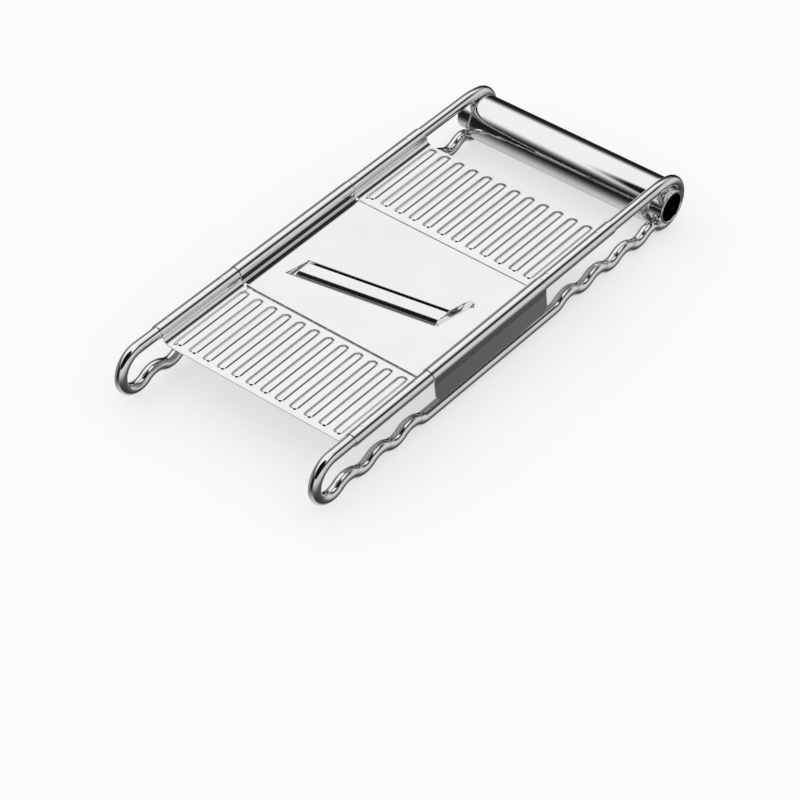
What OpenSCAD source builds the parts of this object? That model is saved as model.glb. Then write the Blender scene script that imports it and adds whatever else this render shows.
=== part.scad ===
// Flat kitchen grater with a lift-off slicing insert, bent from polished steel rod and sheet.
// X runs across, Y runs from the nose to the handle, Z is up.
// The origin lies under the middle of the whole, on the table that the loops stand on.

/* [Side rods] */
// Distance between the axes of the two side rods
rod_span = 122; // [108:1:140]
// Diameter of the side rods
rod_d = 6.3; // [5.6:0.1:7]
// Height of the upper run above the straight lower run, axis to axis
loop_drop = 22.8; // [20:0.2:25]
// Distance from the middle of the insert forward to the bottom of the nose
nose_reach = 116.1; // [112:0.1:130]
// Radius of the upper bend of the nose, on the rod's axis
nose_top_r = 12.4; // [11:0.2:14]
// Distance from the middle of the insert back to the handle's axis
handle_reach = 146.7; // [140:0.1:160]
// Radial step where one stretch of a rod runs into the next
joint_step = 0.01; // [0.01:0.01:0.02]
// Length by which one stretch of a rod runs into the next
joint_lap = 0.1; // [0.05:0.05:0.2]

/* [Bowl rests] */
// Radius of the waves in the lower run, on the rod's axis
wave_r = 10.6; // [9:0.2:12]
// Steepest slope of the waves
wave_slope = 33.2; // [28:0.2:38]
// Crests in the front part of the lower run
front_crests = 3; // [2:1:3]
// Crests in the rear part of the lower run
rear_crests = 4; // [3:1:4]
// Slope of the rear waves down to the handle
rear_fall = 2; // [0:0.2:3]
// Radius of the last crest where it turns down to the handle
end_crest_r = 4.9; // [4:0.1:6]
// Slope at which the last crest runs into the bend round the handle
end_slope = 42; // [36:1:46]
// Radius of the easy bend from the upper run to the bend round the handle
ease_r = 48; // [30:1:60]
// Slope at which the easy bend runs into the bend round the handle
ease_turn = 15; // [10:1:18]

/* [Handle] */
// Outer diameter of the handle tube
handle_d = 25; // [22:0.5:28]
// Wall of the handle tube
handle_wall = 1.5; // [1:0.1:2]
// Radius of the shoulder where the tube is drawn in to its neck
shoulder_r = 2.4; // [1:0.2:2.6]
// Length of the neck beyond the outside of the rods
neck_out = 2.2; // [1:0.2:4]
// Radial fit of the neck in the rods' rear bends
neck_fit = 0.04; // [0.02:0.01:0.08]

/* [Sheet] */
// Thickness of the sheet of the plates and the insert
sheet_t = 0.5; // [0.4:0.1:0.7]
// Depth of the ribbed plates' top face below the axes of the upper rods
plate_drop = 4.7; // [4:0.1:6]
// Height of the straight between a plate's sweep and its curl
sweep_rise = 0.3; // [0.2:0.1:1]
// Radial fit of the plates' curls on the rods
curl_fit = 0.05; // [0.02:0.01:0.1]
// Part of a turn that the curls go round the rods past the sweep
curl_turn = 300; // [270:5:310]

/* [Ribbed plates] */
// Length of each ribbed plate's curls
plate_len = 56.3; // [50:0.1:62]
// How far the rear plate's sheet runs on behind its curls
rear_over = 1.3; // [0.2:0.1:2]
// Distance from rib to rib
rib_pitch = 9.1; // [8.6:0.1:9.6]
// Width of a rib at the plate's top face
rib_w = 4.8; // [4:0.1:5.6]
// Height of a rib
rib_h = 1; // [0.6:0.1:1.2]
// Distance of the first rib's middle from the start of the left sweep
rib_first = 2.4; // [1:0.1:5]
// Least distance of the last rib's middle from the right sweep
rib_last = 2.6; // [2.4:0.1:5]
// Sheet left between the ribs and the edge beside the insert
rib_near = 3.4; // [2:0.1:6]
// Sheet left between the ribs and the far edge
rib_far = 2.6; // [2:0.1:6]

/* [Insert] */
// Length of the bare rods that the insert sits on
insert_len = 87.2; // [80:0.2:96]
// Gap between the insert and the ribbed plates at each end
insert_gap = 0.4; // [0.3:0.1:0.8]
// Radial gap between the insert's saddles and the rods
saddle_gap = 0.3; // [0.3:0.05:0.5]
// Radius of the bend from the insert's flat up to its saddles
insert_bend_r = 1; // [0.8:0.1:2]
// Height of the insert's top face above the ribbed plates
insert_rise = 0.9; // [0.3:0.1:1.2]
// Distance of the folded front and rear edges inside the saddles' ends
fold_inset = 0.3; // [0.1:0.1:0.6]
// Outer radius of the fold along the front and rear edges
fold_r = 1; // [0.8:0.1:1.4]
// Depth of the folded edges below the insert's top face
fold_depth = 2.4; // [1.8:0.1:3.2]
// Width of the notch between a folded edge and the bend beside it
fold_relief = 1.6; // [1:0.1:2.4]
// Depth of the skirts below the axes of the upper rods
skirt_drop = 13.5; // [9:0.5:15]
// Depth at which the skirts start to flare outward
flare_drop = 4; // [3:0.5:6]
// Outward flare of the skirts
skirt_flare = 6; // [2:1:10]
// Radius of the skirts' lower corners
skirt_corner_r = 4; // [2:0.5:6]

/* [Slicing slot] */
// Turn of the slot across the insert
slot_turn = 10; // [6:1:12]
// Slant of the opening's ends from square to the slot
end_slant = 22; // [16:1:24]
// Distance of the opening's front left corner inside the left rod's axis, along the slot
slot_left_in = 12; // [10:0.5:16]
// Distance of the opening's front right corner inside the right rod's axis, along the slot
slot_right_in = 25; // [24:0.5:32]
// Distance from the insert's middle forward to the opening's front edge
slot_front = 16; // [15:0.2:17]
// Distance from the insert's middle back to the opening's rear edge
slot_back = 5; // [4.6:0.1:6]
// Distance from the insert's middle back to the opening's end beside the thumb tab
slot_pass = 2.6; // [1.6:0.2:3.4]

/* [Blade] */
// Width of the blade from heel to edge
blade_w = 9; // [7:0.5:11]
// Thickness of the blade
blade_t = 0.8; // [0.6:0.1:1]
// Length of the blade past the opening's front edge
blade_out = 1.3; // [0.8:0.1:1.6]
// Width of the ground bevel under the edge
bevel_w = 1.8; // [1.2:0.1:2.4]

/* [Cover strip] */
// Thickness of the cover strip
strip_t = 0.5; // [0.4:0.1:0.7]
// Overhang of the strip forward of the insert's middle
strip_front = 2.4; // [2:0.1:3]
// Lap of the strip on the sheet behind the opening
strip_lap = 3.6; // [2.5:0.1:5]

/* [Run-in flap] */
// Diameter of the hinge pin
pin_d = 2; // [1.6:0.1:2.2]
// Radial fit of the pin in its ears
ear_fit = 0.02; // [0.01:0.01:0.04]
// Thickness of the ears that carry the pin
ear_t = 1.2; // [0.8:0.1:1.4]
// Gap between the flap's knuckle and each ear
ear_gap = 0.3; // [0.3:0.05:0.5]
// Thickness of the pin's heads
head_t = 0.8; // [0.5:0.1:1]
// Overhang of the pin's heads past the pin
head_over = 0.6; // [0.4:0.1:0.7]
// Radial running fit of the flap on the pin
pin_fit = 0.05; // [0.03:0.01:0.08]
// Distance from the insert's middle back to the hinge pin's axis
hinge_back = 2.2; // [1.8:0.1:2.4]
// Gap between the flap's knuckle and the cover strip
knuckle_gap = 0.4; // [0.3:0.1:0.5]
// Distance from the insert's middle forward to the flap's lip
lip_front = 12.6; // [12.2:0.1:13]
// Radius of the lip's bend
lip_r = 3.2; // [2.4:0.1:3.6]
// Depth of the flange below the lip's bend
lip_flange = 0.6; // [0.4:0.1:1.4]
// Downward tilt of the flap at the thick setting, as shown
flap_tilt = 9; // [8:0.5:10]
// Downward tilt of the flap at the thin setting
thin_tilt = 2; // [1:0.5:3]
// Gap between the flap's right edge and the slider's bar
flap_gap = 0.5; // [0.45:0.05:0.7]
// Gap left of the flap at the cover strip
left_gap = 1.2; // [1:0.1:2.5]
// Gap left of the flap at its lip
left_lip_gap = 0.5; // [0.4:0.1:1]

/* [Thickness slider] */
// Width of the slider's bar
bar_w = 4.2; // [3.6:0.1:4.6]
// Thickness of the slider's bar and web
bar_t = 1.2; // [1:0.1:1.4]
// Gap round the slider
slide_gap = 0.35; // [0.3:0.05:0.5]
// Travel of the slider from the thick setting forward to the thin one
slide_travel = 4.6; // [4:0.1:5]
// Length of the wedge before and behind the flap's foot at the ends of the travel
wedge_lead = 1.2; // [0.8:0.1:1.4]
// Radius of the flap's foot
foot_r = 0.8; // [0.6:0.1:1]
// Length of the flap's foot and of the wedge under it
foot_len = 2.6; // [2:0.1:3]
// Height of the thumb tab's end above the insert
tab_h = 1.6; // [1.4:0.1:2.4]
// Length of the slope up to the thumb tab's end
tab_len = 6.4; // [5:0.2:7]
// Width of the thumb tab
tab_w = 3.4; // [2.6:0.1:3.6]
// Distance of the thumb tab's end behind the insert's middle, along the bar
tab_back = 7.4; // [6.6:0.2:8.2]
// Distance of the bar's round end in front of the flap's lip
bar_lead = 0.6; // [0.2:0.1:0.8]
// Thickness of the angle that carries the bar
guide_t = 1; // [0.8:0.1:1.2]

/* [Hidden] */
$fn = 48;

// A run of bent rod is a list of steps, [length, 0] for a straight and [radius, turn] for a bend.
function after_step(p, s) = s[1] == 0
    ? [p[0] + s[0] * cos(p[2]), p[1] + s[0] * sin(p[2]), p[2]]
    : [
        p[0] + sign(s[1]) * s[0] * (sin(p[2] + s[1]) - sin(p[2])),
        p[1] + sign(s[1]) * s[0] * (cos(p[2]) - cos(p[2] + s[1])),
        p[2] + s[1]
    ];
function after_run(steps, p = [0, 0, 0], i = 0) =
    i == len(steps) ? p : after_run(steps, after_step(p, steps[i]), i + 1);

// Waves of the lower run
front_waves = [
    [wave_r, wave_slope],
    for (i = [2 : front_crests]) each [[wave_r, -2 * wave_slope], [wave_r, 2 * wave_slope]],
    [wave_r, -2 * wave_slope],
    [wave_r, wave_slope]
];
rear_waves = [
    [wave_r, wave_slope],
    [wave_r, -2 * wave_slope - rear_fall],
    for (i = [3 : rear_crests]) each [[wave_r, 2 * wave_slope], [wave_r, -2 * wave_slope]],
    [wave_r, 2 * wave_slope],
    [wave_r, -wave_slope],
    [end_crest_r, rear_fall - end_slope]
];
front_end = after_run(front_waves);
rear_end = after_run(rear_waves);

// The rear bend lies round the handle's axis and closes the loop on the upper run
ease_drop = ease_r * (1 - cos(ease_turn));
rear_bend_r = (loop_drop - rear_end[1] - ease_drop) / (cos(end_slope) + cos(ease_turn));
nose_low_r = loop_drop - nose_top_r;
low_run = nose_reach + handle_reach - front_end[0] - rear_end[0] - rear_bend_r * sin(end_slope);
ease_run = (ease_r - rear_bend_r) * sin(ease_turn);
top_run = handle_reach + nose_reach - ease_run - nose_top_r + nose_low_r;
loop_steps = [
    each front_waves,
    [low_run, 0],
    each rear_waves,
    [rear_bend_r, 180 + end_slope - ease_turn],
    [ease_r, ease_turn],
    [top_run, 0],
    [nose_top_r, 90],
    [nose_low_r, 90]
];

// Heights, and the place of the insert's middle in the length
handle_drop = ease_drop + rear_bend_r * cos(ease_turn);
rail_z = max(loop_drop, handle_drop + rear_bend_r) + rod_d / 2;
handle_z = rail_z - handle_drop;
plate_z = rail_z - plate_drop;
insert_z = plate_z + insert_rise;
rail_x = rod_span / 2;
insert_y = (nose_reach + nose_low_r - handle_reach - rear_bend_r) / 2;

// Handle
neck_r = rear_bend_r - rod_d / 2 - neck_fit;
neck_end = rail_x + rod_d / 2 + neck_out;
shoulder_end = rail_x - rod_d / 2 - neck_fit;

// Curls of the plates and saddles of the insert
curl_in = rod_d / 2 + curl_fit;
curl_out = curl_in + sheet_t;
saddle_in = rod_d / 2 + saddle_gap;
saddle_out = saddle_in + sheet_t;

// Radius of the sweep from the ribbed plates up to their curls
sweep_r = plate_drop - sweep_rise;
// Half widths of the flat sheets between their bends, and of the insert's folds
plate_half = rail_x - curl_out - sweep_r;
insert_half = rail_x - saddle_out - insert_bend_r;
fold_half = insert_half - fold_relief;

// Ribs are slices of a round bar, as many as the flat sheet has room for
rib_r = (rib_w * rib_w / 4 + rib_h * rib_h) / (2 * rib_h);
rib_count = 1 + floor((2 * plate_half - rib_first - rib_last) / rib_pitch);

// Slot, in its own turned frame: U along the cutting edge, V toward the handle
slant = tan(end_slant);
slot_left = slot_left_in - rail_x;
slot_right = rail_x - slot_right_in;
function left_at(v) = slot_left + (v + slot_front) * slant;
function right_at(v) = slot_right + (v + slot_front) * slant;

// Flap and its hinge, below the insert's top face
knuckle_in = pin_d / 2 + pin_fit;
knuckle_r = knuckle_in + sheet_t;
hinge_drop = knuckle_gap + knuckle_r;
lip_reach = lip_front + hinge_back;
ear_reach = slot_back + strip_lap - hinge_back;

// The slider's bar runs along the right end of the opening, and the flap stops short of it
bar_gap = slide_gap / cos(end_slant);
bar_span = bar_w / cos(end_slant);
bar_mid = bar_w / 2 + slide_gap;
function bar_left_at(v) = right_at(v) - bar_gap - bar_span;
function flap_right_at(v) = bar_left_at(v) - flap_gap / cos(end_slant);
head_r = pin_d / 2 + head_over;
ear_r = hinge_drop - sheet_t;
pin_right = bar_left_at(hinge_back - head_r) - bar_gap - head_t;
flap_knuckle_right = pin_right - ear_t - ear_gap;
flap_knuckle_left = left_at(hinge_back + knuckle_r) + ear_gap;
pin_left = flap_knuckle_left - ear_gap - ear_t;
// Where the flap's slanted right edge turns square to the pin
flap_corner = (flap_knuckle_right - flap_right_at(0)) / slant;

// Slider, whose bar passes under the blade, measured along the bar
bar_top = -sheet_t - blade_t - slide_gap;
bar_front = (-lip_front - bar_lead) / cos(end_slant);
tab_front = tab_back - tab_len;

// Wedge under the flap's foot, which at the thick setting ends in front of the knuckle
wedge_travel = slide_travel * cos(end_slant);
foot_reach = knuckle_r + slide_gap + wedge_lead + wedge_travel;
foot_v = hinge_back - foot_reach;
// Height of the foot's lowest point at a tilt of the flap
function foot_z(tilt) =
    -hinge_drop + (knuckle_r - sheet_t) * cos(tilt) - foot_reach * sin(tilt) - foot_r;
wedge_rise = (foot_z(thin_tilt) - foot_z(flap_tilt)) / wedge_travel;
function wedge_top_at(v) = foot_z(flap_tilt) - slide_gap + (v - foot_v) * wedge_rise;
wedge_front = foot_v - wedge_lead;
wedge_back = foot_v + wedge_travel + wedge_lead;
wedge_base = wedge_top_at(wedge_front) - bar_t;

// How far a cut runs past the faces it opens
over = 1;

// Straight stretch along Y, run on at both ends by a lap
module straight(length, d, lap) {
    translate([0, -lap, 0])
        rotate([-90, 0, 0])
            cylinder(h = length + 2 * lap, d = d);
}

// Bend in the YZ plane, upward for a positive turn, run on at both ends by a lap
module bend(radius, turn, d, lap) {
    extra = lap / radius * 180 / PI;
    translate([0, 0, sign(turn) * radius])
        rotate([90, 0, 90])
            rotate([0, 0, turn > 0 ? -90 - extra : 90 + turn - extra])
                rotate_extrude(angle = abs(turn) + 2 * extra)
                    translate([radius, 0])
                        circle(d = d);
}

// Every second stretch is a hair thinner and runs into its neighbours, so that all join as one solid
module bent_rod(steps, i = 0) {
    if (i < len(steps)) {
        s = steps[i];
        e = after_step([0, 0, 0], s);
        d = i % 2 == 0 ? rod_d : rod_d - 2 * joint_step;
        lap = i % 2 == 0 ? 0 : joint_lap;
        if (s[1] == 0)
            straight(s[0], d, lap);
        else
            bend(s[0], s[1], d, lap);
        translate([0, e[0], e[1]])
            rotate([e[2], 0, 0])
                bent_rod(steps, i + 1);
    }
}

module side_rod(side) {
    translate([side * rail_x, insert_y - nose_reach, rail_z - loop_drop])
        bent_rod(loop_steps);
}

module side_rod_left() {
    color("gainsboro")
        side_rod(-1);
}

module side_rod_right() {
    color("gainsboro")
        side_rod(1);
}

// Half of the handle's turned outline, drawn in at the shoulders, from the middle to one end
module handle_half(radius, neck, corner) {
    difference() {
        cylinder(h = shoulder_end, r = radius);
        translate([0, 0, shoulder_end - corner])
            rotate_extrude()
                difference() {
                    translate([radius - corner, 0])
                        square([corner + rod_d, corner + rod_d]);
                    translate([radius - corner, 0])
                        circle(r = corner);
                }
    }
    cylinder(h = neck_end, r = neck);
}

module handle_tube() {
    color("silver")
        translate([0, insert_y + handle_reach, handle_z])
            rotate([0, 90, 0])
                difference() {
                    for (half = [0, 1])
                        mirror([0, 0, half])
                            handle_half(handle_d / 2, neck_r, shoulder_r);
                    translate([0, 0, -shoulder_end + handle_wall])
                        cylinder(h = 2 * (shoulder_end - handle_wall), r = handle_d / 2 - handle_wall);
                    translate([0, 0, -neck_end - over])
                        cylinder(h = 2 * (neck_end + over), r = neck_r - handle_wall);
                }
}

// Runs a section drawn in X and Z along Y
module along_y(start, length) {
    translate([0, start + length, 0])
        rotate([90, 0, 0])
            linear_extrude(length)
                children();
}

// Quarter of a sheet bend, with its centre at the origin
module quarter_ring(inner) {
    intersection() {
        difference() {
            circle(r = inner + sheet_t);
            circle(r = inner);
        }
        square(inner + 2 * sheet_t);
    }
}

// Section of the right half of a sheet from the middle up to the rod, whose axis is the origin
module half_sheet(outer, drop, bend_r) {
    translate([-rail_x, -drop - sheet_t])
        square([rail_x - outer - bend_r, sheet_t]);
    translate([-outer - bend_r, -drop + bend_r])
        mirror([0, 1])
            quarter_ring(bend_r);
    translate([-outer, -drop + bend_r])
        square([sheet_t, drop - bend_r]);
}

// Section of the curl round the rod, open at the inner lower side
module curl() {
    gap = 360 - curl_turn;
    far = 3 * curl_out;
    difference() {
        circle(r = curl_out);
        circle(r = curl_in);
        polygon([[0, 0], [-far, 0], [far * cos(180 + gap), far * sin(180 + gap)]]);
    }
}

// Section of the saddle over the rod with its outer skirt
module saddle() {
    difference() {
        circle(r = saddle_out);
        circle(r = saddle_in);
        translate([-saddle_out - over, -saddle_out - over])
            square([2 * (saddle_out + over), saddle_out + over]);
    }
    flare = (skirt_drop - flare_drop) * tan(skirt_flare);
    polygon([
        [saddle_in, 0],
        [saddle_in, -flare_drop],
        [saddle_in + flare, -skirt_drop],
        [saddle_out + flare, -skirt_drop],
        [saddle_out, -flare_drop],
        [saddle_out, 0]
    ]);
}

module both_sides() {
    for (side = [0, 1])
        mirror([side, 0, 0])
            translate([rail_x, 0, rail_z])
                children();
}

// Round-ended rib bar along Y from its middle at the origin
module rib_bar(radius, length) {
    translate([0, -length / 2, 0])
        rotate([-90, 0, 0])
            cylinder(h = length, r = radius);
    for (end = [-1, 1])
        translate([0, end * length / 2, 0])
            sphere(r = radius);
}

module rib_row(radius, length) {
    for (i = [0 : rib_count - 1])
        translate([rib_first - plate_half + i * rib_pitch, 0, rib_h - rib_r])
            rib_bar(radius, length);
}

// Plate with embossed ribs behind the insert, whose sheet runs on past the curls at the far edge
module ribbed_plate(run_on) {
    start = insert_len / 2;
    length = plate_len + run_on;
    bar_len = length - rib_near - rib_far - rib_w;
    middle = start + rib_near + (rib_w + bar_len) / 2;
    difference() {
        union() {
            both_sides() {
                along_y(start, length)
                    half_sheet(curl_out, plate_drop, sweep_r);
                along_y(start, plate_len)
                    curl();
            }
            intersection() {
                translate([0, middle, plate_z])
                    rib_row(rib_r, bar_len);
                translate([-rail_x, start, plate_z - sheet_t / 2])
                    cube([rod_span, length, rib_h + sheet_t]);
            }
        }
        intersection() {
            translate([0, middle, plate_z])
                rib_row(rib_r - sheet_t, bar_len);
            translate([-rail_x, start, plate_z - sheet_t - over])
                cube([rod_span, length, rib_h + sheet_t + over]);
        }
    }
}

module front_plate() {
    color("whitesmoke")
        translate([0, insert_y, 0])
            mirror([0, 1, 0])
                ribbed_plate(0);
}

module rear_plate() {
    color("whitesmoke")
        translate([0, insert_y, 0])
            ribbed_plate(rear_over);
}

// Places children in the slot's turned frame, at the insert's top face
module at_slot() {
    translate([0, insert_y, insert_z])
        rotate([0, 0, slot_turn])
            children();
}

// Prism over an outline in U and V, between two heights
module prism(low, high, points) {
    translate([0, 0, low])
        linear_extrude(high - low)
            polygon(points);
}

// Rounds off the two lower corners of a skirt
module skirt_corners(length) {
    for (end = [0, 1])
        mirror([0, end, 0])
            translate([0, length / 2 - skirt_corner_r, -skirt_drop + skirt_corner_r])
                rotate([0, 90, 0])
                    difference() {
                        cube([2 * skirt_corner_r, 2 * skirt_corner_r, skirt_drop]);
                        translate([0, 0, -over])
                            cylinder(h = skirt_drop + 2 * over, r = skirt_corner_r);
                    }
}

// Sheet edge folded down at the given place, along X
module folded_edge(edge) {
    translate([-fold_half, edge - fold_r, insert_z - fold_r])
        rotate([90, 0, 90])
            linear_extrude(2 * fold_half) {
                quarter_ring(fold_r - sheet_t);
                translate([fold_r - sheet_t, fold_r - fold_depth])
                    square([sheet_t, fold_depth - fold_r]);
            }
}

// Sheet between the rods with its saddles and skirts, cut back for the folds at its ends
module insert_sheet(length, edge) {
    difference() {
        both_sides()
            difference() {
                along_y(-length / 2, length) {
                    half_sheet(saddle_out, rail_z - insert_z, insert_bend_r);
                    saddle();
                }
                skirt_corners(length);
            }
        for (end = [0, 1])
            mirror([0, end, 0])
                translate([-insert_half, edge - fold_r, insert_z - sheet_t - over])
                    cube([2 * insert_half, length, sheet_t + 2 * over]);
    }
}

module insert_plate() {
    length = insert_len - 2 * insert_gap;
    edge = length / 2 - fold_inset;
    color("whitesmoke") {
        difference() {
            translate([0, insert_y, 0])
                insert_sheet(length, edge);
            at_slot() {
                prism(-2 * sheet_t, sheet_t, [
                    [left_at(-slot_front), -slot_front],
                    [right_at(-slot_front), -slot_front],
                    [right_at(slot_pass), slot_pass],
                    [bar_left_at(slot_back), slot_back],
                    [left_at(slot_back), slot_back]
                ]);
                slider_slit();
            }
        }
        translate([0, insert_y, 0])
            for (end = [0, 1])
                mirror([0, end, 0])
                    folded_edge(edge);
    }
}

// Places children in the bar's frame, with Y along the bar toward the handle
module at_bar() {
    translate([right_at(0), 0, 0])
        rotate([0, 0, -end_slant])
            translate([-bar_mid, 0, 0])
                children();
}

// Slit for the thumb tab, from the opening back past the tab's end
module slider_slit() {
    half = tab_w / 2 + slide_gap;
    at_bar()
        translate([-half, 0, -sheet_t - over])
            cube([2 * half, tab_back + slide_gap, sheet_t + 2 * over]);
}

module slicing_blade() {
    heel = -slot_front - blade_w + blade_out;
    edge = -slot_front + blade_out;
    color("lightsteelblue")
        at_slot()
            translate([slot_left + blade_out, 0, -sheet_t])
                rotate([90, 0, 90])
                    linear_extrude(slot_right - slot_left - 2 * blade_out)
                        polygon([
                            [heel, 0],
                            [edge, 0],
                            [edge - bevel_w, -blade_t],
                            [heel, -blade_t]
                        ]);
}

module cover_strip() {
    back = slot_back + strip_lap;
    color("white")
        at_slot()
            prism(0, strip_t, [
                [left_at(-strip_front) - slide_gap, -strip_front],
                [bar_left_at(-strip_front), -strip_front],
                [bar_left_at(back), back],
                [left_at(back) - slide_gap, back]
            ]);
}

// Ear under the sheet that carries one end of the hinge pin
module hinge_ear(u) {
    at_slot()
        translate([u, hinge_back, 0])
            rotate([90, 0, 90])
                linear_extrude(ear_t)
                    difference() {
                        union() {
                            translate([0, -hinge_drop])
                                circle(r = ear_r);
                            translate([0, -hinge_drop - ear_r])
                                square([ear_reach, 2 * ear_r]);
                            translate([slot_back - hinge_back, -hinge_drop])
                                square([strip_lap, hinge_drop - sheet_t]);
                        }
                        translate([0, -hinge_drop])
                            circle(r = pin_d / 2 + ear_fit);
                    }
}

module hinge_ear_left() {
    color("darkgray")
        hinge_ear(pin_left);
}

module hinge_ear_right() {
    color("darkgray")
        hinge_ear(pin_right - ear_t);
}

module hinge_pin() {
    color("dimgray")
        at_slot()
            translate([pin_left - head_t, hinge_back, -hinge_drop])
                rotate([0, 90, 0]) {
                    cylinder(h = pin_right - pin_left + 2 * head_t, d = pin_d);
                    cylinder(h = head_t, r = head_r);
                    translate([0, 0, pin_right - pin_left + head_t])
                        cylinder(h = head_t, r = head_r);
                }
}

// Section of the flap forward of the pin, whose axis is the origin
module flap_section() {
    circle(r = knuckle_r);
    translate([-lip_reach + lip_r, knuckle_r - sheet_t])
        square([lip_reach - lip_r, sheet_t]);
    translate([-lip_reach + lip_r, knuckle_r - lip_r])
        intersection() {
            difference() {
                circle(r = lip_r);
                circle(r = lip_r - sheet_t);
            }
            translate([-lip_r, 0])
                square(lip_r);
        }
    translate([-lip_reach, knuckle_r - lip_r - lip_flange])
        square([sheet_t, lip_flange]);
}

module run_in_flap() {
    low = -2 * hinge_drop - lip_flange - lip_reach;
    high = hinge_drop;
    span = flap_knuckle_right - slot_left;
    color("white")
        at_slot()
            translate([0, hinge_back, -hinge_drop])
                rotate([flap_tilt, 0, 0])
                    difference() {
                        union() {
                            intersection() {
                                translate([slot_left, 0, 0])
                                    rotate([90, 0, 90])
                                        linear_extrude(span)
                                            flap_section();
                                translate([0, -hinge_back, 0])
                                    prism(low, high, [
                                        [left_at(-lip_front) + left_lip_gap - left_gap, -2 * lip_front],
                                        [flap_right_at(-lip_front), -2 * lip_front],
                                        [flap_right_at(-lip_front), -lip_front],
                                        [flap_knuckle_right, flap_corner],
                                        [flap_knuckle_right, 2 * hinge_back],
                                        [flap_knuckle_left, 2 * hinge_back],
                                        [flap_knuckle_left, hinge_back - knuckle_r - ear_gap],
                                        [left_at(-strip_front) + left_gap, -strip_front],
                                        [left_at(-lip_front) + left_lip_gap, -lip_front]
                                    ]);
                            }
                            translate([flap_right_at(foot_v) - foot_len, -foot_reach, knuckle_r - sheet_t])
                                rotate([0, 90, 0])
                                    cylinder(h = foot_len - slide_gap, r = foot_r);
                        }
                        translate([slot_left, 0, 0])
                            rotate([0, 90, 0])
                                cylinder(h = span, r = knuckle_in);
                        translate([slot_left, -foot_reach - foot_r, knuckle_r])
                            cube([span, 2 * foot_r, foot_r]);
                    }
}

// Bar that slopes up to a thumb tab behind and carries a wedge under the flap's foot
module thickness_slider() {
    round_y = bar_front + bar_w / 2;
    bar_mid_z = bar_top - bar_t / 2;
    color("lightgray")
        at_slot() {
            at_bar() {
                translate([-bar_w / 2, round_y, bar_top - bar_t])
                    cube([bar_w, tab_front + bar_t / 2 - round_y, bar_t]);
                translate([0, round_y, bar_top - bar_t])
                    cylinder(h = bar_t, d = bar_w);
                translate([-tab_w / 2, 0, 0])
                    rotate([90, 0, 90])
                        linear_extrude(tab_w)
                            polygon([
                                [tab_front - bar_t, bar_mid_z],
                                [tab_front, bar_top - bar_t],
                                [tab_back, tab_h - bar_t],
                                [tab_back, tab_h],
                                [tab_front, bar_top]
                            ]);
            }
            prism(wedge_base, bar_mid_z, [
                [bar_left_at(wedge_front), wedge_front],
                [bar_left_at(wedge_front) + bar_t, wedge_front],
                [bar_left_at(wedge_back) + bar_t, wedge_back],
                [bar_left_at(wedge_back), wedge_back]
            ]);
            wedge();
        }
}

// Wedge that rises toward the handle, level along the flap's hinge
module wedge() {
    start = flap_right_at(wedge_front) - foot_len;
    intersection() {
        prism(wedge_base - over, 0, [
            [start, wedge_front - over],
            [bar_left_at(wedge_front - over) + bar_t / 2, wedge_front - over],
            [bar_left_at(wedge_back + over) + bar_t / 2, wedge_back + over],
            [flap_right_at(wedge_back) - foot_len, wedge_back + over]
        ]);
        translate([start - over, 0, 0])
            rotate([90, 0, 90])
                linear_extrude(bar_left_at(wedge_back) - start + 2 * over)
                    polygon([
                        [wedge_front, wedge_base],
                        [wedge_back, wedge_base],
                        [wedge_back, wedge_top_at(wedge_back)],
                        [wedge_front, wedge_top_at(wedge_front)]
                    ]);
    }
}

// Angle under the sheet that carries the slider's bar
module slider_guide() {
    wall = bar_mid + slide_gap;
    floor_z = bar_top - bar_t - slide_gap - guide_t;
    length = tab_back - bar_front;
    color("darkgray")
        at_slot()
            at_bar()
                translate([0, bar_front, 0]) {
                    translate([wall, 0, floor_z])
                        cube([guide_t, length, -sheet_t - floor_z]);
                    translate([0, 0, floor_z])
                        cube([wall + guide_t, length, guide_t]);
                }
}

side_rod_left();
side_rod_right();
handle_tube();
front_plate();
rear_plate();
insert_plate();
slicing_blade();
cover_strip();
hinge_ear_left();
hinge_ear_right();
hinge_pin();
run_in_flap();
thickness_slider();
slider_guide();
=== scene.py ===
"""Looks of a flat kitchen grater with a lift-off slicing insert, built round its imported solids."""

import logging
import math
from dataclasses import dataclass, field
from enum import Enum
from typing import ClassVar

import bmesh
import bpy
from mathutils import Matrix, Vector


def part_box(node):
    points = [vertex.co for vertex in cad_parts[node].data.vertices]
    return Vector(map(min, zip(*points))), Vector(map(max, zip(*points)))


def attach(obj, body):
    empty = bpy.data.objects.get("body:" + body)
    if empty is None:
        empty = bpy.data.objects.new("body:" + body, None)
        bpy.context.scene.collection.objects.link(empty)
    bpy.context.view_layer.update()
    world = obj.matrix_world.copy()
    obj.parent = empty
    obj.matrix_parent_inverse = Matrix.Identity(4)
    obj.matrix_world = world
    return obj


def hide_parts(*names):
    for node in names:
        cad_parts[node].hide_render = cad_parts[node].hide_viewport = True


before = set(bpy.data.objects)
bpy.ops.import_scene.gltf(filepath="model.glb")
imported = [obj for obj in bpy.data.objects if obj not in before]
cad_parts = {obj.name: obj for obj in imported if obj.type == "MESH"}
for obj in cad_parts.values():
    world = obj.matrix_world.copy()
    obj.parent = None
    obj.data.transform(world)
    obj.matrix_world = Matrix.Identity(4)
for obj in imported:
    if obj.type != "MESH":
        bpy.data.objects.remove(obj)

LOG = logging.getLogger("grater")
MM = 0.001
SHEET_T = 0.5 * MM


class Side(Enum):
    """The two sides of the grater, by the sign of X."""

    LEFT = -1
    RIGHT = 1


class Grain(Enum):
    """Directions of the fine lines that polishing leaves, as scales of a noise in X, Y and Z."""

    ALONG_X = (0.02, 1.0, 1.0)
    ALONG_Y = (1.0, 0.02, 1.0)
    ROUND_X = (1.0, 0.03, 0.03)
    CLOUDY = (0.3, 0.3, 0.3)


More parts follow.
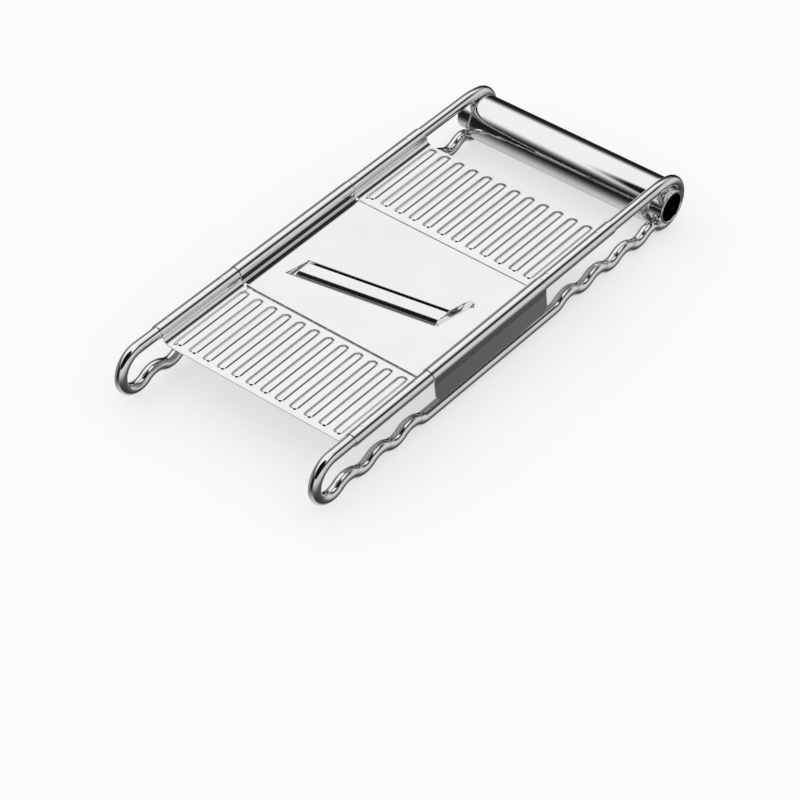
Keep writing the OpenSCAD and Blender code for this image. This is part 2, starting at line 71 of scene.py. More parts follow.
class Slot(Enum):
    """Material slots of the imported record."""

    ROD = "polished_rod"
    TUBE = "polished_tube"
    SHEET = "polished_sheet"
    SATIN = "satin_sheet"
    BLADE = "blade_steel"
    PLAIN = "plain_steel"


@dataclass(frozen=True)
class SteelFinish:
    """A steel surface with its gloss, smudges and polishing lines."""

    name: str
    slot: Slot
    tint: tuple[float, float, float]
    gloss: float
    smudge: float
    grain: Grain
    line_pitch: float
    line_depth: float
    cloud_scale: ClassVar[float] = 38.0
    cloud_detail: ClassVar[float] = 3.0
    cloud_span: ClassVar[tuple[float, float]] = (0.3, 0.7)
    tone_span: ClassVar[tuple[float, float]] = (0.35, 0.65)
    shade: ClassVar[float] = 0.965
    line_detail: ClassVar[float] = 2.0

    def material(self) -> bpy.types.Material:
        """Builds the finish once and returns it.

        Returns:
            The node material of this finish.
        """
        made = bpy.data.materials.get(self.name)
        if made is not None:
            return made
        made = bpy.data.materials.new(self.name)
        made.use_nodes = True
        nodes, links = made.node_tree.nodes, made.node_tree.links
        shader = nodes["Principled BSDF"]
        shader.inputs["Metallic"].default_value = 1.0
        place = nodes.new("ShaderNodeTexCoord").outputs["Object"]

        cloud = nodes.new("ShaderNodeTexNoise")
        cloud.inputs["Scale"].default_value = self.cloud_scale
        cloud.inputs["Detail"].default_value = self.cloud_detail
        links.new(place, cloud.inputs["Vector"])
        rough = nodes.new("ShaderNodeMapRange")
        rough.inputs["From Min"].default_value, rough.inputs["From Max"].default_value = self.cloud_span
        rough.inputs["To Min"].default_value = self.gloss
        rough.inputs["To Max"].default_value = self.gloss + self.smudge
        links.new(cloud.outputs["Fac"], rough.inputs["Value"])
        links.new(rough.outputs["Result"], shader.inputs["Roughness"])

        tone = nodes.new("ShaderNodeValToRGB")
        for element, stop, level in zip(tone.color_ramp.elements, self.tone_span, (self.shade, 1.0)):
            element.position = stop
            element.color = (*(level * c for c in self.tint), 1.0)
        links.new(cloud.outputs["Fac"], tone.inputs["Fac"])
        links.new(tone.outputs["Color"], shader.inputs["Base Color"])

        turn = nodes.new("ShaderNodeMapping")
        turn.inputs["Scale"].default_value = self.grain.value
        links.new(place, turn.inputs["Vector"])
        lines = nodes.new("ShaderNodeTexNoise")
        lines.inputs["Scale"].default_value = 1.0 / self.line_pitch
        lines.inputs["Detail"].default_value = self.line_detail
        links.new(turn.outputs["Vector"], lines.inputs["Vector"])
        bump = nodes.new("ShaderNodeBump")
        bump.inputs["Strength"].default_value = 1.0
        bump.inputs["Distance"].default_value = self.line_depth
        links.new(lines.outputs["Fac"], bump.inputs["Height"])
        links.new(bump.outputs["Normal"], shader.inputs["Normal"])
        return made


ROD_STEEL = SteelFinish(
    "rod_polish", Slot.ROD, (0.87, 0.87, 0.86), 0.035, 0.03, Grain.ALONG_Y, 0.9 * MM, 0.0001 * MM
)
TUBE_STEEL = SteelFinish(
    "tube_polish", Slot.TUBE, (0.88, 0.88, 0.87), 0.035, 0.03, Grain.ROUND_X, 0.8 * MM, 0.0001 * MM
)
SHEET_STEEL = SteelFinish(
    "sheet_polish", Slot.SHEET, (0.89, 0.89, 0.885), 0.055, 0.03, Grain.ALONG_X, 0.9 * MM, 0.0001 * MM
)
SATIN_STEEL = SteelFinish(
    "flap_satin", Slot.SATIN, (0.88, 0.88, 0.88), 0.07, 0.03, Grain.ALONG_X, 0.5 * MM, 0.0002 * MM
)
BLADE_STEEL = SteelFinish(
    "blade_ground", Slot.BLADE, (0.3, 0.305, 0.315), 0.16, 0.05, Grain.ROUND_X, 0.25 * MM, 0.002 * MM
)
PLAIN_STEEL = SteelFinish(
    "plain_rolled", Slot.PLAIN, (0.76, 0.76, 0.76), 0.2, 0.08, Grain.CLOUDY, 0.6 * MM, 0.002 * MM
)


class Workshop:
    """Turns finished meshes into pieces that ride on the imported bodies."""

    @staticmethod
    def piece(name: str, bm: bmesh.types.BMesh, finish: SteelFinish, body: str) -> bpy.types.Object:
        """Makes a smooth-shaded object from a mesh.

        Args:
            name: Name of the piece.
            bm: The mesh, in the shared frame, which is freed here.
            finish: Finish of the whole piece.
            body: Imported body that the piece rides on.

        Returns:
            The new object at the origin.
        """
        mesh = bpy.data.meshes.new(name)
        bm.to_mesh(mesh)
        bm.free()
        for polygon in mesh.polygons:
            polygon.use_smooth = True
        mesh.materials.append(finish.material())
        made = bpy.data.objects.new(name, mesh)
        bpy.context.scene.collection.objects.link(made)
        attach(made, body)
        LOG.info("piece %s: %d faces on %s", name, len(mesh.polygons), body)
        return made

    @staticmethod
    def thicken(made: bpy.types.Object, edge_r: float) -> None:
        """Gives a surface the sheet's thickness below it and broken edges.

        Args:
            made: Object of the surface, whose normals point up.
            edge_r: Width of the broken edges.
        """
        wall = made.modifiers.new("sheet", "SOLIDIFY")
        wall.thickness = SHEET_T
        wall.offset = -1.0
        wall.use_even_offset = True
        rim = made.modifiers.new("broken edges", "BEVEL")
        rim.width = edge_r
        rim.segments = 2
        rim.limit_method = "ANGLE"
        rim.angle_limit = math.radians(60)
        rim.harden_normals = True

    @staticmethod
    def dress(node: str, finish: SteelFinish) -> None:
        """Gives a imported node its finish.

        Args:
            node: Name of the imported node.
            finish: Finish of the whole node.
        """
        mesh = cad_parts[node].data
        mesh.materials.clear()
        mesh.materials.append(finish.material())
        LOG.info("node %s: %s", node, finish.name)


@dataclass
class BentRod:
    """One closed side loop of bent rod with its waves, in metres and degrees."""

    side: Side
    radius: float = 3.15 * MM
    drop: float = 22.8 * MM
    nose_reach: float = 116.1 * MM
    nose_top_r: float = 12.4 * MM
    handle_reach: float = 146.7 * MM
    wave_r: float = 10.6 * MM
    wave_slope: float = 33.2
    front_crests: int = 3
    rear_crests: int = 4
    rear_fall: float = 2.0
    end_crest_r: float = 4.9 * MM
    end_slope: float = 42.0
    ease_r: float = 48.0 * MM
    ease_turn: float = 15.0
    ring_points: int = 40
    step_turn: float = 3.5
    least_steps: int = 3
    weld: float = 0.02 * MM

    @property
    def node(self) -> str:
        """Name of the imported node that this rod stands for."""
        return f"side_rod_{self.side.name.lower()}"

    def front_waves(self) -> list[tuple[float, float]]:
        """Steps of the front waves, each a radius and a turn."""
        s = self.wave_slope
        middle = [(self.wave_r, -2 * s), (self.wave_r, 2 * s)] * (self.front_crests - 1)
        return [(self.wave_r, s), *middle, (self.wave_r, -2 * s), (self.wave_r, s)]

    def rear_waves(self) -> list[tuple[float, float]]:
        """Steps of the rear waves, down to the bend round the handle."""
        s = self.wave_slope
        middle = [(self.wave_r, 2 * s), (self.wave_r, -2 * s)] * (self.rear_crests - 2)
        start = [(self.wave_r, s), (self.wave_r, -2 * s - self.rear_fall)]
        end = [(self.wave_r, 2 * s), (self.wave_r, -s), (self.end_crest_r, self.rear_fall - self.end_slope)]
        return start + middle + end

    @staticmethod
    def after(steps: list[tuple[float, float]]) -> tuple[float, float]:
        """Where a run of bends ends.

        Args:
            steps: Radius and turn of each bend.

        Returns:
            Distance along and height, from a level start.
        """
        y = z = heading = 0.0
        for radius, turn in steps:
            way = math.copysign(radius, turn)
            end = heading + math.radians(turn)
            y += way * (math.sin(end) - math.sin(heading))
            z += way * (math.cos(heading) - math.cos(end))
            heading = end
        return y, z

    def steps(self) -> list[tuple[float, float]]:
        """The whole loop from the bottom of the nose round to it again.

        Returns:
            A list of (radius, turn), or (length, 0) for a straight.
        """
        front, rear = self.front_waves(), self.rear_waves()
        (front_y, _), (rear_y, rear_z) = self.after(front), self.after(rear)
        ease, end = math.radians(self.ease_turn), math.radians(self.end_slope)
        spare = self.drop - rear_z - self.ease_r * (1 - math.cos(ease))
        bend_r = spare / (math.cos(end) + math.cos(ease))
        nose_low_r = self.drop - self.nose_top_r
        reach = self.nose_reach + self.handle_reach
        low_run = reach - front_y - rear_y - bend_r * math.sin(end)
        top_run = reach - (self.ease_r - bend_r) * math.sin(ease) - self.nose_top_r + nose_low_r
        return [
            *front,
            (low_run, 0.0),
            *rear,
            (bend_r, 180.0 + self.end_slope - self.ease_turn),
            (self.ease_r, self.ease_turn),
            (top_run, 0.0),
            (self.nose_top_r, 90.0),
            (nose_low_r, 90.0),
        ]

    def build(self) -> bpy.types.Object:
        """Spins one ring along the loop and joins it to itself.

        Returns:
            The rod's object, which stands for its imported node.
        """
        low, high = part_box(self.node)
        place = Vector((
            (low.x + high.x) / 2,
            low.y + self.radius + self.drop - self.nose_top_r,
            high.z - self.radius - self.drop,
        ))
        bm = bmesh.new()
        upright = Matrix.Translation(place) @ Matrix.Rotation(math.radians(90), 4, "X")
        bmesh.ops.create_circle(
            bm, cap_ends=False, radius=self.radius, segments=self.ring_points, matrix=upright
        )
        ring = list(bm.edges)
        heading = 0.0
        for size, turn in self.steps():
            ahead = Vector((0.0, math.cos(heading), math.sin(heading)))
            above = Vector((0.0, -math.sin(heading), math.cos(heading)))
            if turn == 0.0:
                move, centre, count = ahead * size, place, 1
                place = place + move
            else:
                move, count = Vector(), max(self.least_steps, round(abs(turn) / self.step_turn))
                centre = place + above * math.copysign(size, turn)
                place = centre + Matrix.Rotation(math.radians(turn), 3, "X") @ (place - centre)
                heading += math.radians(turn)
            last = bmesh.ops.spin(
                bm, geom=ring, cent=centre, axis=(1.0, 0.0, 0.0), dvec=move,
                angle=math.radians(turn), steps=count, use_merge=False, use_duplicate=False,
            )["geom_last"]
            ring = [e for e in last if isinstance(e, bmesh.types.BMEdge)]
        bmesh.ops.remove_doubles(bm, verts=bm.verts, dist=self.weld)
        bmesh.ops.recalc_face_normals(bm, faces=bm.faces)
        made = Workshop.piece(f"bent_rod_{self.side.name.lower()}", bm, ROD_STEEL, "frame")
        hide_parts(self.node)
        return made


@dataclass
class HandleTube:
    """The handle, a tube drawn in to open necks at both ends."""

    radius: float = 12.5 * MM
    wall: float = 1.5 * MM
    shoulder: float = 57.81 * MM
    shoulder_r: float = 2.4 * MM
    rim_r: float = 0.6 * MM
    bore_r: float = 0.2 * MM
    inner_r: float = 0.8 * MM
    node: str = "handle_tube"
    turns: int = 128
    corner_steps: int = 8
    weld: float = 0.005 * MM
    sharp: float = 40.0

    def outline(self, end: float, neck: float) -> list[tuple[float, float, float]]:
        """Outline of one half of the wall, from the middle out and back inside.

        Args:
            end: Distance from the middle to the open end.
            neck: Outer radius of the neck.

        Returns:
            Points as (along, radius, rounding of that corner).
        """
        bore, inner = neck - self.wall, self.radius - self.wall
        step = self.shoulder - self.wall
        return [
            (0.0, self.radius, 0.0),
            (self.shoulder, self.radius, self.shoulder_r),
            (self.shoulder, neck, 0.0),
            (end, neck, self.rim_r),
            (end, bore, self.rim_r),
            (step, bore, self.bore_r),
            (step, inner, self.inner_r),
            (0.0, inner, 0.0),
        ]

    def build(self, neck: float) -> bpy.types.Object:
        """Spins the rounded outline about the tube's axis and mirrors it.

        Args:
            neck: Outer radius of the necks.

        Returns:
            The tube's object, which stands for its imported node.
        """
        low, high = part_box(self.node)
        axis = Vector((0.0, (low.y + high.y) / 2, (low.z + high.z) / 2))
        bm = bmesh.new()
        for side in Side:
            points = self.outline(high.x, neck)
            verts = [bm.verts.new(axis + Vector((side.value * x, 0.0, r))) for x, r, _ in points]
            for pair in zip(verts, verts[1:]):
                bm.edges.new(pair)
            for vert, (_, _, rounding) in zip(verts, points):
                if rounding:
                    bmesh.ops.bevel(
                        bm, geom=[vert], offset=rounding, offset_type="OFFSET", affect="VERTICES",
                        segments=self.corner_steps, profile=0.5, material=-1, clamp_overlap=True,
                    )
            edges = [e for e in bm.edges if not e.link_faces]
            bmesh.ops.spin(
                bm, geom=edges, cent=axis, axis=(1.0, 0.0, 0.0), dvec=Vector(), angle=math.radians(360),
                steps=self.turns, use_merge=True, use_duplicate=False,
            )
        bmesh.ops.remove_doubles(bm, verts=bm.verts, dist=self.weld)
        bmesh.ops.recalc_face_normals(bm, faces=bm.faces)
        made = Workshop.piece("drawn_tube", bm, TUBE_STEEL, "frame")
        made.data.set_sharp_from_angle(angle=math.radians(self.sharp))
        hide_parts(self.node)
        return made


class Lie(Enum):
    """Where a plate lies from the insert, by the sign of Y."""

    FRONT = -1
    REAR = 1


@dataclass(frozen=True)
class RibProfile:
    """Section of a pressed rib, as arcs from its crown out to the flat."""

    arcs: tuple[tuple[float, float], ...] = (
        (17.0 * MM, 4.5), (0.8 * MM, 44.0), (10.0 * MM, 46.0), (-0.5 * MM, 24.0), (-3.8 * MM, 0.0)
    )
    stations: tuple[float, ...] = (
        0.0, 0.6, 1.2, 1.33, 1.45, 1.56, 1.66, 1.75, 1.83, 1.95, 2.07, 2.15, 2.23, 2.45, 2.75, 3.1, 3.5, 3.85
    )

    def depth(self, out: float) -> float:
        """Depth of the surface below the rib's crown.

        Args:
            out: Distance from the rib's axis.

        Returns:
            The depth, which stays the same beyond the last arc.
        """
        reached = fall = tilt = 0.0
        for radius, end in self.arcs:
            turn = math.radians(end)
            width = radius * (math.sin(turn) - math.sin(tilt))
            if out < reached + width:
                turn = math.asin(math.sin(tilt) + (out - reached) / radius)
                return fall + radius * (math.cos(tilt) - math.cos(turn))
            fall += radius * (math.cos(tilt) - math.cos(turn))
            reached += width
            tilt = turn
        return fall

    def height(self, out: float) -> float:
        """Height of the surface above the flat, at a distance from the rib's axis."""
        return self.depth(math.inf) - self.depth(out)

    def about(self, axis: float, ways: tuple[int, ...] = (-1, 1)) -> list[float]:
        """Places of the mesh's lines beside a rib's axis, on one side of it or both."""
        return [axis + way * s * MM for way in ways for s in self.stations]


@dataclass
class RibbedPlate:
    """A ribbed sheet whose edges sweep up and curl round the rods as sleeves."""

    lie: Lie
    run_on: float
    dent_in: tuple[float, float]
    profile: RibProfile = RibProfile()
    rod_r: float = 3.15 * MM
    curl_fit: float = 0.05 * MM
    drop: float = 4.7 * MM
    sweep_r: float = 4.4 * MM
    curl_turn: float = 300.0
    rib_count: int = 12
    rib_pitch: float = 9.1 * MM
    rib_first: float = 2.4 * MM
    near_end: float = 5.8 * MM
    far_end: float = 5.0 * MM
    dent_r: float = 0.55 * MM
    dent_depth: float = 0.16 * MM
    edge_r: float = 0.1 * MM
    sweep_steps: int = 14
    rise_steps: int = 2
    curl_steps: int = 100
    least_step: float = 0.06 * MM
    weld: float = 0.004 * MM

    @property
    def node(self) -> str:
        """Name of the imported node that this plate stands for."""
        return f"{self.lie.name.lower()}_plate"

    @property
    def curl_out(self) -> float:
        """Outer radius of the curls."""
        return self.rod_r + self.curl_fit + SHEET_T

    @property
    def rise(self) -> float:
        """Height of the straight between a sweep and its curl."""
        return self.drop - self.sweep_r

    def rib_axes(self, flat: float) -> list[float]:
        """Places of the ribs' axes across the plate, whose flat has that half width."""
        return [self.rib_first - flat + i * self.rib_pitch for i in range(self.rib_count)]

    def across(self, flat: float) -> list[float]:
        """Distances along the sheet's section, finer where the sheet bends.

        Args:
            flat: Half width of the flat.

        Returns:
            Rising signed distances from the section's middle.
        """
        marks = {place for axis in self.rib_axes(flat) for place in self.profile.about(axis)}
        sweep_end = flat + self.sweep_r * math.pi / 2
        curl_end = sweep_end + self.rise + self.curl_out * math.radians(self.curl_turn)
        for side in Side:
            foot = max(side.value * place for place in marks)
            spans = (
                (foot, sweep_end, self.sweep_steps),
                (sweep_end, sweep_end + self.rise, self.rise_steps),
                (sweep_end + self.rise, curl_end, self.curl_steps),
            )
            for start, end, count in spans:
                marks |= {side.value * (start + (end - start) * i / count) for i in range(1, count + 1)}
        return sorted(marks)

    def along(self, length: float) -> list[float]:
        """Places along the plate, finer at the ribs' round ends and at the dents.

        Args:
            length: Length of the plate.

        Returns:
            Rising distances from the edge beside the insert.
        """
        near, far = self.near_end, length - self.far_end
        marks = {0.0, length, *self.profile.about(near, (-1,)), *self.profile.about(far, (1,))}
        marks |= {near + (far - near) * i / 4 for i in range(1, 4)}
        for dent in self.dents(length):
            marks |= {dent + self.dent_r * i / 3 for i in range(-5, 6)}
        kept = [0.0]
        for mark in sorted(marks):
            if mark - kept[-1] > self.least_step:
                kept.append(mark)
        kept[-1] = length
        return kept

    def dents(self, length: float) -> tuple[float, float]:
        """Places of the two dents that hold each curl on its rod, for a plate of that length."""
        return self.dent_in[0], length - self.run_on - self.dent_in[1]

    def relief(self, mark: float, along: float, flat: float, length: float) -> float:
        """Height of the ribs, or depth of the dents, at a point of the sheet.

        Args:
            mark: Signed distance along the section.
            along: Distance from the edge beside the insert.
            flat: Half width of the flat.
            length: Length of the plate.

        Returns:
            Height along the sheet's normal, below zero in a dent.
        """
        top = flat + self.sweep_r * math.pi / 2 + self.rise + self.curl_out * math.pi / 2
        if abs(mark) > top - self.curl_out:
            away = min(math.hypot(abs(mark) - top, along - dent) for dent in self.dents(length))
            return -self.dent_depth * math.exp(-((away / self.dent_r) ** 2))
        axis = min(self.rib_axes(flat), key=lambda place: abs(place - mark))
        past = max(self.near_end - along, along - length + self.far_end, 0.0)
        return self.profile.height(math.hypot(mark - axis, past))

    def section(self, mark: float, rail_x: float) -> tuple[Vector, Vector]:
        """Point and normal of the sheet's upper face, from the height of the rods' axes.

        Args:
            mark: Signed distance along the section from its middle.
            rail_x: Distance of the rods' axes from the middle.

        Returns:
            The point and the normal in X and Z.
        """
        side, s = math.copysign(1.0, mark), abs(mark)
        flat = rail_x - self.curl_out - self.sweep_r
        sweep = self.sweep_r * math.pi / 2
        if s <= flat:
            point, normal = (s, -self.drop), (0.0, 1.0)
        elif s <= flat + sweep:
            a = (s - flat) / self.sweep_r
            point = (flat + self.sweep_r * math.sin(a), -self.rise - self.sweep_r * math.cos(a))
            normal = (-math.sin(a), math.cos(a))
        elif s <= flat + sweep + self.rise:
            point, normal = (flat + self.sweep_r, s - flat - sweep - self.rise), (-1.0, 0.0)
        else:
            a = math.pi - (s - flat - sweep - self.rise) / self.curl_out
            normal = (math.cos(a), math.sin(a))
            point = (rail_x + self.curl_out * normal[0], self.curl_out * normal[1])
        return Vector((side * point[0], 0.0, point[1])), Vector((side * normal[0], 0.0, normal[1]))

    def build(self) -> bpy.types.Object:
        """Lays a grid along the sheet's section, presses the ribs and thickens it.

        Returns:
            The plate's object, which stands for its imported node.
        """
        low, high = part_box(self.node)
        rail_x, rail_z = high.x - self.curl_out, high.z - self.curl_out
        length = high.y - low.y
        edge = low.y if self.lie is Lie.REAR else high.y
        flat = rail_x - self.curl_out - self.sweep_r
        sweep_end = flat + self.sweep_r * math.pi / 2
        marks, places = self.across(flat), self.along(length)
        bm = bmesh.new()
        bmesh.ops.create_grid(bm, x_segments=len(marks) - 1, y_segments=len(places) - 1, size=0.5)
        for vert in bm.verts:
            mark = marks[round((vert.co.x + 0.5) * (len(marks) - 1))]
            along = places[round((vert.co.y + 0.5) * (len(places) - 1))]
            curled = min(max((abs(mark) - sweep_end) / self.rise, 0.0), 1.0)
            along = min(along, length - self.run_on * curled)
            point, normal = self.section(mark, rail_x)
            raised = point + normal * self.relief(mark, along, flat, length)
            vert.co = raised + Vector((0.0, edge + self.lie.value * along, rail_z))
        bmesh.ops.remove_doubles(bm, verts=bm.verts, dist=self.weld)
        if self.lie is Lie.FRONT:
            bmesh.ops.reverse_faces(bm, faces=bm.faces)
        made = Workshop.piece(f"ribbed_{self.node}", bm, SHEET_STEEL, "frame")
        Workshop.thicken(made, self.edge_r)
        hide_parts(self.node)
        return made


@dataclass
class RunInFlap:
    """The tilting sheet before the blade, with its round lip, hinge barrel and foot.

    Lengths are in metres and angles in degrees. Its own frame has X along the hinge, Y back from the
    hinge and Z up from it. Each edge is given by distances ahead of the hinge and places along it.
    """

    node: str = "run_in_flap"
    body: str = "flap"
    turn: float = 10.0
    tilt: float = 9.0
    hinge_back: float = 2.2 * MM
    barrel_r: float = 1.55 * MM
    bore_r: float = 1.05 * MM
    barrel_points: int = 32
    step_up: float = 0.35 * MM
    step_span: tuple[float, float] = (0.4 * MM, 2.8 * MM)
    reach: float = 14.8 * MM
    lip_r: float = 6.2 * MM
    lip_turn: float = 70.0
    left_edge: tuple[tuple[float, float], ...] = (
        (0.0, -40.72 * MM), (1.85 * MM, -40.72 * MM), (4.6 * MM, -42.31 * MM), (14.8 * MM, -47.13 * MM)
    )
    right_edge: tuple[tuple[float, float], ...] = (
        (0.0, 35.12 * MM), (6.89 * MM, 35.12 * MM), (14.8 * MM, 31.93 * MM)
    )
    columns: int = 12
    step_points: int = 8
    flat_marks: tuple[float, ...] = (0.3, 0.65, 0.95)
    lip_points: int = 28
    weld: float = 0.001 * MM
    edge_r: float = 0.12 * MM
    foot_ahead: float = 7.37 * MM
    foot_up: float = 0.87 * MM
    foot_r: float = 0.62 * MM
    foot_span: tuple[float, float] = (32.33 * MM, 34.58 * MM)

    def placing(self) -> Matrix:
        """The flap's own frame at rest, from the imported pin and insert."""
        pin_low, pin_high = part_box("hinge_pin")
        low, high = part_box("insert_plate")
        middle = Vector(((low.x + high.x) / 2, (low.y + high.y) / 2, (pin_low.z + pin_high.z) / 2))
        turned = Matrix.Rotation(math.radians(self.turn), 4, "Z")
        hinge = middle + turned @ Vector((0.0, self.hinge_back, 0.0))
        return Matrix.Translation(hinge) @ turned @ Matrix.Rotation(math.radians(self.tilt), 4, "X")

    @staticmethod
    def edge_at(points: tuple[tuple[float, float], ...], ahead: float) -> float:
        """Place of a slanted edge along the hinge.

        Args:
            points: Distances ahead of the hinge, rising from zero, and the places there.
            ahead: Distance ahead of the hinge.

        Returns:
            The place, which stays the same beyond the last point.
        """
        for (near, start), (far, end) in zip(points, points[1:]):
            if ahead <= far:
                return start + (end - start) * (ahead - near) / (far - near)
        return points[-1][1]

    def section(self) -> list[tuple[float, float]]:
        """Distance ahead and height of the sheet's upper face, from the barrel to the lip's end."""
        near, far = self.step_span
        top = self.barrel_r + self.step_up
        points = [(0.0, self.barrel_r)]
        for k in range(self.step_points + 1):
            f = k / self.step_points
            points.append((near + (far - near) * f, self.barrel_r + self.step_up * f * f * (3 - 2 * f)))
        bend = self.reach - self.lip_r
        points += [(far + (bend - far) * f, top) for f in self.flat_marks]
        for k in range(self.lip_points + 1):
            a = math.radians(self.lip_turn) * k / self.lip_points
            points.append((bend + self.lip_r * math.sin(a), top - self.lip_r * (1 - math.cos(a))))
        return points

    def sheet_piece(self, placing: Matrix) -> None:
        """Lays the sheet from the barrel over the lip and thickens it.

        Args:
            placing: The flap's own frame at rest.
        """
        points = self.section()
        bm = bmesh.new()
        bmesh.ops.create_grid(bm, x_segments=len(points) - 1, y_segments=self.columns, size=0.5)
        for vert in bm.verts:
            ahead, up = points[round((vert.co.x + 0.5) * (len(points) - 1))]
            left, right = self.edge_at(self.left_edge, ahead), self.edge_at(self.right_edge, ahead)
            vert.co = placing @ Vector((left + (right - left) * (vert.co.y + 0.5), -ahead, up))
        made = Workshop.piece("flap_sheet", bm, SATIN_STEEL, self.body)
        Workshop.thicken(made, self.edge_r)
        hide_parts(self.node)

    def barrel_piece(self, placing: Matrix) -> None:
        """Turns the barrel that holds the pin and the foot that the slider lifts.

        Args:
            placing: The flap's own frame at rest.
        """
        left, right = self.left_edge[0][1], self.right_edge[0][1]
        inner, outer = self.bore_r, self.barrel_r
        start, end = self.foot_span
        centre = Vector((0.0, -self.foot_ahead, self.foot_up))
        outlines = (
            (Vector(), True, ((left, inner), (right, inner), (right, outer), (left, outer))),
            (centre, False, ((start, 0.0), (start, self.foot_r), (end, self.foot_r), (end, 0.0))),
        )
        bm = bmesh.new()
        for axis, closed, outline in outlines:
            verts = [bm.verts.new(axis + Vector((x, 0.0, r))) for x, r in outline]
            pairs = list(zip(verts, verts[1:])) + ([(verts[-1], verts[0])] if closed else [])
            edges = [bm.edges.new(pair) for pair in pairs]
            bmesh.ops.spin(
                bm, geom=verts + edges, cent=axis, axis=(1.0, 0.0, 0.0), angle=math.radians(360),
                steps=self.barrel_points, use_merge=True,
            )
        bmesh.ops.remove_doubles(bm, verts=bm.verts, dist=self.weld)
        bmesh.ops.recalc_face_normals(bm, faces=bm.faces)
        bmesh.ops.transform(bm, matrix=placing, verts=bm.verts)
        sharp = [edge for edge in bm.edges if edge.calc_face_angle(0.0) > math.radians(60)]
        bmesh.ops.bevel(
            bm, geom=sharp, offset=self.edge_r, offset_type="OFFSET", affect="EDGES",
            segments=2, profile=0.5, material=-1,
        )
        Workshop.piece("flap_barrel", bm, SATIN_STEEL, self.body)

    def build(self) -> None:
        """Makes the sheet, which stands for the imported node, with its barrel and foot."""
        placing = self.placing()
        self.sheet_piece(placing)
        self.barrel_piece(placing)


@dataclass
class SlicingInsert:
    """The insert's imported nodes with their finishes."""

    finishes: dict[str, SteelFinish] = field(default_factory=lambda: {
        "insert_plate": SHEET_STEEL,
        "cover_strip": SHEET_STEEL,
        "slicing_blade": BLADE_STEEL,
        "thickness_slider": PLAIN_STEEL,
        "slider_guide": PLAIN_STEEL,
        "hinge_ear_left": PLAIN_STEEL,
        "hinge_ear_right": PLAIN_STEEL,
        "hinge_pin": PLAIN_STEEL,
    })

    def dress(self) -> None:
        """Gives every node of the insert its finish."""
        for node, finish in self.finishes.items():
            Workshop.dress(node, finish)


